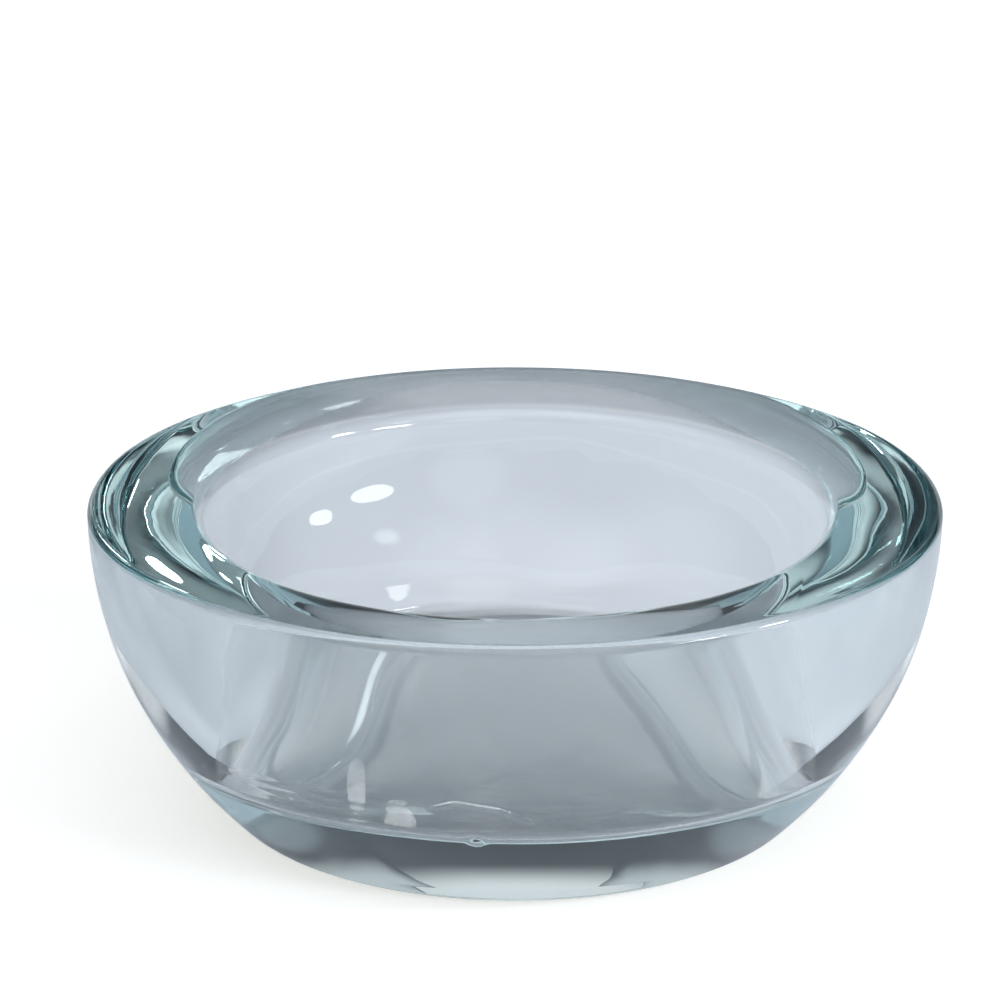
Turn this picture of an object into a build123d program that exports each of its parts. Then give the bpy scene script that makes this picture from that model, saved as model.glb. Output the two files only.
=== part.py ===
from build123d import *
import math
import os

# Sizes of the bowl, in millimetres and degrees, each of which can be set by itself
rim_diameter = 90.0  # widest circle, where the outer wall stands upright
rim_height = 33.5  # where the outer wall would meet the rim's land if the edge were sharp
base_edge_radius = 2.5  # rounded corner round the base
rim_bevel = 0.7  # bevel round the rim's outer edge, measured along the wall and the land
rim_bevel_radius = 0.8  # soft edges of that bevel, as fire polishing leaves them
mouth_diameter = 65.2  # across the inner lip
land_drop = 1.2  # fall of the rim's land from its outer edge to the inner lip
lip_radius = 1.9  # rounded inner lip
wall_draft = 8.0  # lean of the hollow's wall from upright, which lets the plunger out
floor_thickness = 9.8  # glass under the hollow
floor_corner_radius = 1.8  # rounded corner between the hollow's wall and its floor

# The outer wall is part of a ball whose centre is level with the rim, cut off flat by the base
ball_radius = rim_diameter / 2
ball_centre = (0, rim_height)
base_angle = -math.degrees(math.asin(rim_height / ball_radius))

# Corners of the half section before they are rounded, as (radius, height)
base_centre = (0, 0)
base_corner = (math.sqrt(ball_radius**2 - rim_height**2), 0)
rim_corner = (ball_radius, rim_height)
lip_corner = (mouth_diameter / 2, rim_height - land_drop)
hollow_depth = lip_corner[1] - floor_thickness
floor_corner = (lip_corner[0] - hollow_depth * math.tan(math.radians(wall_draft)), floor_thickness)
floor_centre = (0, floor_thickness)

os.makedirs("parts", exist_ok=True)

# The bowl is one pressed piece of glass: a half section turned about the upright axis
with BuildPart() as bowl:
    with BuildSketch(Plane.XZ) as half_section:
        with BuildLine():
            Line(base_centre, base_corner)
            CenterArc(ball_centre, ball_radius, base_angle, -base_angle)
            Line(rim_corner, lip_corner)
            Line(lip_corner, floor_corner)
            Line(floor_corner, floor_centre)
            Line(floor_centre, base_centre)
        make_face()
        rounded_corners = (
            (base_corner, base_edge_radius),
            (lip_corner, lip_radius),
            (floor_corner, floor_corner_radius),
        )
        for corner, radius in rounded_corners:
            fillet(half_section.vertices().sort_by_distance((*corner, 0)).first, radius)
        chamfer(half_section.vertices().sort_by_distance((*rim_corner, 0)).first, rim_bevel)
        fillet(half_section.vertices().sort_by_distance((*rim_corner, 0))[:2], rim_bevel_radius)
    revolve(axis=Axis.Z)

bowl.part.label = "bowl"
export_step(bowl.part, "parts/bowl.step")
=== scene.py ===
import math

import bpy
import numpy as np
from mathutils import Euler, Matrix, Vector


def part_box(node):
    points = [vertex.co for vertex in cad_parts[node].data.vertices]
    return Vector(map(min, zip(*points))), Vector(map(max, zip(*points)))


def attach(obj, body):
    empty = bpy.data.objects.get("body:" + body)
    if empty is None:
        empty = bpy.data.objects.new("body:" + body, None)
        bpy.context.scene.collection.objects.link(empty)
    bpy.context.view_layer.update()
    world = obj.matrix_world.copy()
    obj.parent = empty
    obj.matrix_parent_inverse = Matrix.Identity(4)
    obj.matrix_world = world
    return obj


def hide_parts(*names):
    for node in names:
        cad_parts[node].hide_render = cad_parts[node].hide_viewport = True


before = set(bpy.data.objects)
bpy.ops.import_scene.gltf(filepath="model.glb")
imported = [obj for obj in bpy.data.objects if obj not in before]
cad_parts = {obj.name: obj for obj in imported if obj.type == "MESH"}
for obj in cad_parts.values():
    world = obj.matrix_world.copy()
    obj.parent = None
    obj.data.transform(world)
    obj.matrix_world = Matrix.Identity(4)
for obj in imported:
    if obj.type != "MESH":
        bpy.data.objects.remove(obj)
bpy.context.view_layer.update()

MM = 0.001

# The bowl's half section, in millimetres and degrees, as in the solid model
BALL_RADIUS = 45.0  # the outer wall is part of a ball
RIM_HEIGHT = 33.5  # the ball's centre is level with the rim
BASE_EDGE = 2.5
RIM_EDGE = 0.95  # the rim's soft bevel, taken as one round
MOUTH_RADIUS = 32.6
LAND_DROP = 1.2
LIP_RADIUS = 1.9
WALL_DRAFT = 8.0
FLOOR_THICKNESS = 9.8
FLOOR_CORNER = 1.8

# Points round the bowl and along each run of its section
TURN_STEPS = 480
BASE_STEPS = 8
BASE_EDGE_STEPS = 10
WALL_STEPS = 240  # close enough for the finest marks of pressing
RIM_EDGE_STEPS = 12
LAND_STEPS = 14
LIP_STEPS = 16
HOLLOW_STEPS = 30
FLOOR_CORNER_STEPS = 20
FLOOR_STEPS = 10

# Every azimuth below is in degrees from the camera's side towards the right

# Marks that pressing left in the glass, in millimetres
SWELLS = (  # waves round the bowl, length along the section, phase in radians, depth to either side
    (5, 30.0, 0.4, 0.03),
    (9, 19.0, 2.1, 0.015),
    (17, 12.0, 4.0, 0.003),
)
BASE_CALM = 2.0  # height over which the swells grow from nothing at the flat base
CHILL_LENGTHS = (1.0, 1.4)  # of the fine ripples where the gob first met the cold mould
CHILL_WAVES = 7  # bends of those ripples round the bowl
CHILL_SWING = 1.5  # how far they bend, in radians of a ripple
CHILL_PATCHES = (  # azimuth, height, half the width in degrees, half the height, depth to either side
    (-33.0, 13.2, 14.0, 1.8, 0.005),
    (5.5, 14.6, 13.0, 2.2, 0.003),
)
SHEAR_MARK = ((-12.0, 14.2), (-8.5, 15.2), (-2.3, 14.5), (2.6, 12.8))  # azimuth and height along it
SHEAR_WIDTH = 0.25
SHEAR_DEPTH = 0.08
DROP = (-5.8, 10.0)  # azimuth and height of a small drop that stands proud of the wall
DROP_RADIUS = 0.65
DROP_RISE = 0.12
ON_WALL = 0.01  # how near to the ball the points of the outer wall lie

# Camera, fitted to the bowl's outline in a square picture
PICTURE = 1000  # pixels
PIXELS_PER_RADIUS = 420.1  # at the middle of the base
DISTANCE_IN_RADII = 1 / 0.07
ELEVATION = 22.11  # degrees
BASE_PIXEL = (515.1, 791.8)  # where the middle of the base falls
SENSOR = 36.0  # millimetres

# Glass: a metre of it absorbs each colour by its density times what the tint lacks of white
GLASS_IOR = 1.52
GLASS_TINT = (0.46, 0.705, 0.72)
GLASS_DENSITY = 10.0
GLASS_ROUGHNESS = (0.0, 0.02)  # from fire-polished to faintly dull
DULL_SCALE = 70.0  # patches of dullness in a metre
DULL_RANGE = (0.35, 0.75)  # noise that is wholly polished and noise that is wholly dull
SKIN_SCALE = (260.0, 260.0, 50.0)  # streaks that the mould left, in a metre across and upright
SKIN_DETAIL = 1.0  # octaves of noise in the streaks
SKIN_DEPTH = 0.008  # millimetres

# Studio: a dim room with round soft lights on its walls and ceiling, and two lamps
ROOM_COLOR = (0.025, 0.028, 0.035)
GLOWS = (  # azimuth, height, reach and width of the soft edge in degrees, brightness
    (45, 15, 45, 50, (0.16, 0.165, 0.17)),  # fill from the right
    (15, 20, 11, 10, (1.10, 1.10, 1.10)),  # low in front
    (60, 45, 24, 30, (0.30, 0.31, 0.31)),  # high at the right
    (300, 50, 22, 30, (1.05, 1.07, 1.08)),  # high at the left
    (290, 12, 18, 20, (0.15, 0.15, 0.16)),  # low at the left
    (0, 60, 24, 30, (1.50, 1.54, 1.56)),  # main light, high in front
    (51, 40.5, 3, 4, (4.0, 4.0, 4.0)),  # small spot over the lamps
    (145, 20, 7, 6, (0.16, 0.175, 0.185)),  # behind at the right, for the dark band's ends
    (215, 20, 7, 6, (0.16, 0.175, 0.185)),  # behind at the left, likewise
    (166, -6, 18.5, 9, (0.67, 0.67, 0.68)),  # low behind at the right, for the pale base
    (194, -6, 18.5, 9, (0.67, 0.67, 0.68)),  # low behind at the left, likewise
    (180, 48.5, 18, 9, (0.97, 0.91, 0.91)),  # high behind, for the middle of the pale base
)
LAMPS = (  # azimuth and height in degrees; distance, width and tallness in metres; brightness
    (49.5, 22.5, 1.0, 0.265, 0.12, 28.0),
    (72, 26, 1.0, 0.152, 0.11, 52.0),
)
FLOOR_GAP = 0.15  # millimetres under the base
FLOOR_REACH = 4.0  # metres
FLOOR_COLOR = (0.72, 0.765, 0.835)
FLOOR_LIFT = (0.5, 0.48, 0.42)  # light of its own with which the camera sees the open floor white
FLOOR_LIFT_IN_GLASS = (0.05, 0.05, 0.055)  # the same for what glass reflects and refracts
LIGHT_BOUNCES = 32  # enough to leave the glass after many inner reflections


def direction(azimuth, height):
    """Unit vector by azimuth from the camera's side towards the right and by height, in degrees."""
    turn, rise = math.radians(azimuth), math.radians(height)
    return Vector((math.sin(turn) * math.cos(rise), -math.cos(turn) * math.cos(rise), math.sin(rise)))


def arc(centre, radius, start, end, count):
    """Points of an arc from one bearing to another, as (radius, height)."""
    bearings = np.linspace(start, end, count)
    return [(centre[0] + radius * math.cos(a), centre[1] + radius * math.sin(a)) for a in bearings]


def bearing(centre, point):
    """Direction from a centre to a point of the section, in radians."""
    return math.atan2(point[1] - centre[1], point[0] - centre[0])


def run(start, end, count):
    """Points spread between two others, without either."""
    return [tuple(p) for p in np.linspace(start, end, count + 2)[1:-1]]


def rounded(before, corner, after, radius, count):
    """Arc that rounds the corner between two straight runs."""
    before, corner, after = (np.array(p, float) for p in (before, corner, after))
    back = (before - corner) / np.linalg.norm(before - corner)
    on = (after - corner) / np.linalg.norm(after - corner)
    half = math.acos(float(back @ on)) / 2
    centre = corner + (back + on) / np.linalg.norm(back + on) * radius / math.sin(half)
    reach = radius / math.tan(half)
    start = bearing(centre, corner + back * reach)
    turn = (bearing(centre, corner + on * reach) - start + math.pi) % (2 * math.pi) - math.pi
    return arc(centre, radius, start, start + turn, count)


def half_section():
    """Section from beside the base's middle, round the rim, to beside the hollow floor's middle."""
    ball = np.array((0.0, RIM_HEIGHT))
    rim = np.array((BALL_RADIUS, RIM_HEIGHT))
    lip = np.array((MOUTH_RADIUS, RIM_HEIGHT - LAND_DROP))
    hollow_depth = lip[1] - FLOOR_THICKNESS
    floor_corner = (lip[0] - hollow_depth * math.tan(math.radians(WALL_DRAFT)), FLOOR_THICKNESS)
    floor_middle = (0, FLOOR_THICKNESS)

    # The base's round touches the table and the inside of the ball
    base_round = (math.sqrt((BALL_RADIUS - BASE_EDGE) ** 2 - (RIM_HEIGHT - BASE_EDGE) ** 2), BASE_EDGE)

    # The rim's round touches the land from below and the inside of the ball
    land = (lip - rim) / np.linalg.norm(lip - rim)
    under_land = np.array((-land[1], land[0]))
    start = rim + RIM_EDGE * under_land - ball
    lean = float(start @ land)
    along = -lean - math.sqrt(lean**2 - float(start @ start) + (BALL_RADIUS - RIM_EDGE) ** 2)
    rim_round = ball + start + along * land
    land_start = rim_round - RIM_EDGE * under_land

    wall_start = bearing(ball, base_round)
    wall_end = bearing(ball, rim_round)
    lip_round = rounded(rim, lip, floor_corner, LIP_RADIUS, LIP_STEPS)
    corner_round = rounded(lip, floor_corner, floor_middle, FLOOR_CORNER, FLOOR_CORNER_STEPS)

    points = run((0, 0), (base_round[0], 0), BASE_STEPS)
    points += arc(base_round, BASE_EDGE, -math.pi / 2, wall_start, BASE_EDGE_STEPS)
    points += arc(ball, BALL_RADIUS, wall_start, wall_end, WALL_STEPS)[1:]
    points += arc(rim_round, RIM_EDGE, wall_end, bearing(rim_round, land_start), RIM_EDGE_STEPS)[1:]
    points += run(land_start, lip_round[0], LAND_STEPS) + lip_round
    points += run(lip_round[-1], corner_round[0], HOLLOW_STEPS) + corner_round
    points += run(corner_round[-1], floor_middle, FLOOR_STEPS)
    return np.array(points)


def relief(turns, section):
    """Depth of the marks of pressing at each azimuth and point of the section, in millimetres."""
    radius, height = section[:, 0], section[:, 1]
    along = np.concatenate([[0], np.cumsum(np.linalg.norm(np.diff(section, axis=0), axis=1))])
    around = turns[:, None]
    swell = sum(depth * (1 + np.sin(waves * around + 2 * math.pi * along / length + phase))
                for waves, length, phase, depth in SWELLS)
    swell = swell * radius / BALL_RADIUS * np.clip(height / BASE_CALM, 0, 1)

    degrees = np.degrees((around + math.pi) % (2 * math.pi) - math.pi)
    ripple = 0
    for length in CHILL_LENGTHS:
        bend = CHILL_SWING * np.sin(CHILL_WAVES * around + length)
        ripple = ripple + (1 + np.sin(2 * math.pi * height / length + bend))
    marks = 0
    for azimuth, middle, wide, tall, depth in CHILL_PATCHES:
        fade = np.exp(-((degrees - azimuth) / wide) ** 2 - ((height - middle) / tall) ** 2)
        marks = marks + depth * ripple * fade

    azimuths, heights = zip(*SHEAR_MARK)
    line = np.interp(degrees, azimuths, heights)
    inside = (degrees > azimuths[0]) & (degrees < azimuths[-1])
    marks = marks + SHEAR_DEPTH * inside * np.exp(-((height - line) / SHEAR_WIDTH) ** 2)

    aside = np.radians(degrees - DROP[0]) * radius
    marks = marks - DROP_RISE * np.exp(-(aside**2 + (height - DROP[1]) ** 2) / DROP_RADIUS**2)

    outer_wall = np.abs(np.hypot(radius, height - RIM_HEIGHT) - BALL_RADIUS) < ON_WALL
    return swell + marks * outer_wall


def turned_bowl():
    """The bowl as one closed skin, marked by pressing and set inside the solid's box."""
    section = half_section()
    turns = np.linspace(0, 2 * math.pi, TURN_STEPS, endpoint=False)
    slope = np.gradient(section, axis=0)
    slope /= np.linalg.norm(slope, axis=1)[:, None]
    depth = relief(turns, section)
    radius = section[:, 0] - depth * slope[:, 1]
    height = section[:, 1] + depth * slope[:, 0]

    low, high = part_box("bowl")
    across = min(high.x - low.x, high.y - low.y) / 2 / radius.max()
    upright = (high.z - low.z) / height.max()
    x = np.sin(turns)[:, None] * radius * across
    y = -np.cos(turns)[:, None] * radius * across
    verts = np.stack([x, y, height * upright + low.z], 2).reshape(-1, 3)
    verts = np.vstack([verts, (0, 0, low.z), (0, 0, FLOOR_THICKNESS * upright + low.z)])
    base_middle, floor_middle = len(verts) - 2, len(verts) - 1

    rows = len(section)
    faces = []
    for i in range(TURN_STEPS):
        here, there = i * rows, (i + 1) % TURN_STEPS * rows
        faces += [(here + k, there + k, there + k + 1, here + k + 1) for k in range(rows - 1)]
        faces.append((base_middle, there, here))
        faces.append((floor_middle, here + rows - 1, there + rows - 1))
    mesh = bpy.data.meshes.new("glass_bowl")
    mesh.from_pydata(verts.tolist(), [], faces)
    mesh.shade_smooth()
    piece = bpy.data.objects.new("glass_bowl", mesh)
    bpy.context.scene.collection.objects.link(piece)
    return piece


def glass_material():
    """Clear pressed glass with a cool grey tint in its depth."""
    material = bpy.data.materials.new("pressed_glass")
    material.use_nodes = True
    tree = material.node_tree
    shader = tree.nodes["Principled BSDF"]
    shader.inputs["Base Color"].default_value = (1, 1, 1, 1)
    shader.inputs["Transmission Weight"].default_value = 1
    shader.inputs["IOR"].default_value = GLASS_IOR
    place = tree.nodes.new("ShaderNodeTexCoord")

    dull = tree.nodes.new("ShaderNodeTexNoise")
    dull.inputs["Scale"].default_value = DULL_SCALE
    spread = tree.nodes.new("ShaderNodeMapRange")
    spread.inputs["From Min"].default_value = DULL_RANGE[0]
    spread.inputs["From Max"].default_value = DULL_RANGE[1]
    spread.inputs["To Min"].default_value = GLASS_ROUGHNESS[0]
    spread.inputs["To Max"].default_value = GLASS_ROUGHNESS[1]
    tree.links.new(place.outputs["Object"], dull.inputs["Vector"])
    tree.links.new(dull.outputs["Fac"], spread.inputs["Value"])
    tree.links.new(spread.outputs["Result"], shader.inputs["Roughness"])

    stretch = tree.nodes.new("ShaderNodeMapping")
    stretch.inputs["Scale"].default_value = SKIN_SCALE
    streaks = tree.nodes.new("ShaderNodeTexNoise")
    streaks.inputs["Scale"].default_value = 1
    streaks.inputs["Detail"].default_value = SKIN_DETAIL
    skin = tree.nodes.new("ShaderNodeBump")
    skin.inputs["Strength"].default_value = 1
    skin.inputs["Distance"].default_value = SKIN_DEPTH * MM
    tree.links.new(place.outputs["Object"], stretch.inputs["Vector"])
    tree.links.new(stretch.outputs["Vector"], streaks.inputs["Vector"])
    tree.links.new(streaks.outputs["Fac"], skin.inputs["Height"])
    tree.links.new(skin.outputs["Normal"], shader.inputs["Normal"])

    depth = tree.nodes.new("ShaderNodeVolumeAbsorption")
    depth.inputs["Color"].default_value = (*GLASS_TINT, 1)
    depth.inputs["Density"].default_value = GLASS_DENSITY
    tree.links.new(depth.outputs["Volume"], tree.nodes["Material Output"].inputs["Volume"])
    return material


def room():
    """A dim room with round soft lights on its walls and ceiling."""
    world = bpy.data.worlds.new("room")
    bpy.context.scene.world = world
    world.use_nodes = True
    tree = world.node_tree
    look = tree.nodes["Background"]
    look.inputs["Color"].default_value = (*ROOM_COLOR, 1)
    place = tree.nodes.new("ShaderNodeTexCoord")
    for azimuth, height, reach, edge, color in GLOWS:
        towards = tree.nodes.new("ShaderNodeVectorMath")
        towards.operation = "DOT_PRODUCT"
        towards.inputs[1].default_value = direction(azimuth, height)
        fade = tree.nodes.new("ShaderNodeMapRange")
        fade.interpolation_type = "SMOOTHSTEP"
        fade.inputs["From Min"].default_value = math.cos(math.radians(reach + edge / 2))
        fade.inputs["From Max"].default_value = math.cos(math.radians(reach - edge / 2))
        glow = tree.nodes.new("ShaderNodeBackground")
        glow.inputs["Color"].default_value = (*color, 1)
        both = tree.nodes.new("ShaderNodeAddShader")
        tree.links.new(place.outputs["Generated"], towards.inputs[0])
        tree.links.new(towards.outputs["Value"], fade.inputs["Value"])
        tree.links.new(fade.outputs["Result"], glow.inputs["Strength"])
        tree.links.new(look.outputs[0], both.inputs[0])
        tree.links.new(glow.outputs[0], both.inputs[1])
        look = both
    tree.links.new(look.outputs[0], tree.nodes["World Output"].inputs["Surface"])


def floor():
    """A pale floor that shows white to the camera and keeps the bowl's shadow."""
    z = -FLOOR_GAP * MM
    corners = [(-FLOOR_REACH, -FLOOR_REACH, z), (FLOOR_REACH, -FLOOR_REACH, z),
               (FLOOR_REACH, FLOOR_REACH, z), (-FLOOR_REACH, FLOOR_REACH, z)]
    mesh = bpy.data.meshes.new("floor")
    mesh.from_pydata(corners, [], [(0, 1, 2, 3)])
    plane = bpy.data.objects.new("floor", mesh)
    bpy.context.scene.collection.objects.link(plane)
    material = bpy.data.materials.new("pale_floor")
    material.use_nodes = True
    tree = material.node_tree
    tree.nodes.remove(tree.nodes["Principled BSDF"])
    paint = tree.nodes.new("ShaderNodeBsdfDiffuse")
    paint.inputs["Color"].default_value = (*FLOOR_COLOR, 1)
    path = tree.nodes.new("ShaderNodeLightPath")
    by_glass = tree.nodes.new("ShaderNodeMath")
    by_glass.operation = "MAXIMUM"
    tree.links.new(path.outputs["Is Glossy Ray"], by_glass.inputs[0])
    tree.links.new(path.outputs["Is Transmission Ray"], by_glass.inputs[1])
    lifts = (
        (path.outputs["Is Camera Ray"], FLOOR_LIFT),
        (by_glass.outputs[0], FLOOR_LIFT_IN_GLASS),
    )
    look = paint
    for seen, color in lifts:
        lift = tree.nodes.new("ShaderNodeEmission")
        lift.inputs["Color"].default_value = (*color, 1)
        both = tree.nodes.new("ShaderNodeAddShader")
        tree.links.new(seen, lift.inputs["Strength"])
        tree.links.new(look.outputs[0], both.inputs[0])
        tree.links.new(lift.outputs[0], both.inputs[1])
        look = both
    tree.links.new(look.outputs[0], tree.nodes["Material Output"].inputs["Surface"])
    mesh.materials.append(material)


def lamps():
    """Soft oval lamps that face the bowl, each with power in step with its brightness and size."""
    for number, (azimuth, height, distance, width, tall, brightness) in enumerate(LAMPS):
        data = bpy.data.lights.new(f"lamp_{number}", "AREA")
        data.shape = "ELLIPSE"
        data.size = width
        data.size_y = tall
        data.energy = brightness * math.pi * width * tall
        lamp = bpy.data.objects.new(f"lamp_{number}", data)
        bpy.context.scene.collection.objects.link(lamp)
        lamp.location = direction(azimuth, height) * distance
        lamp.rotation_euler = (-lamp.location).to_track_quat("-Z", "Y").to_euler()


def camera():
    """Camera at the photograph's angle, from the fitted values."""
    distance = BALL_RADIUS * MM * DISTANCE_IN_RADII
    focal_pixels = PIXELS_PER_RADIUS * DISTANCE_IN_RADII
    rise = math.radians(ELEVATION)
    data = bpy.data.cameras.new("camera")
    data.sensor_width = SENSOR
    data.lens = focal_pixels * SENSOR / PICTURE
    eye = bpy.data.objects.new("camera", data)
    bpy.context.scene.collection.objects.link(eye)
    eye.location = (0, -distance * math.cos(rise), distance * math.sin(rise))
    tilt = rise - math.atan((BASE_PIXEL[1] - PICTURE / 2) / focal_pixels)
    turn = math.atan((BASE_PIXEL[0] - PICTURE / 2) / focal_pixels) / math.cos(tilt)
    eye.rotation_euler = Euler((math.pi / 2 - tilt, 0, turn))
    bpy.context.scene.camera = eye


bowl = turned_bowl()
bowl.data.materials.append(glass_material())
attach(bowl, "root")
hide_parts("bowl")
room()
floor()
lamps()
camera()

scene = bpy.context.scene
scene.view_settings.view_transform = "Standard"
scene.cycles.use_denoising = True
scene.cycles.max_bounces = LIGHT_BOUNCES
scene.cycles.transmission_bounces = LIGHT_BOUNCES
scene.cycles.glossy_bounces = LIGHT_BOUNCES
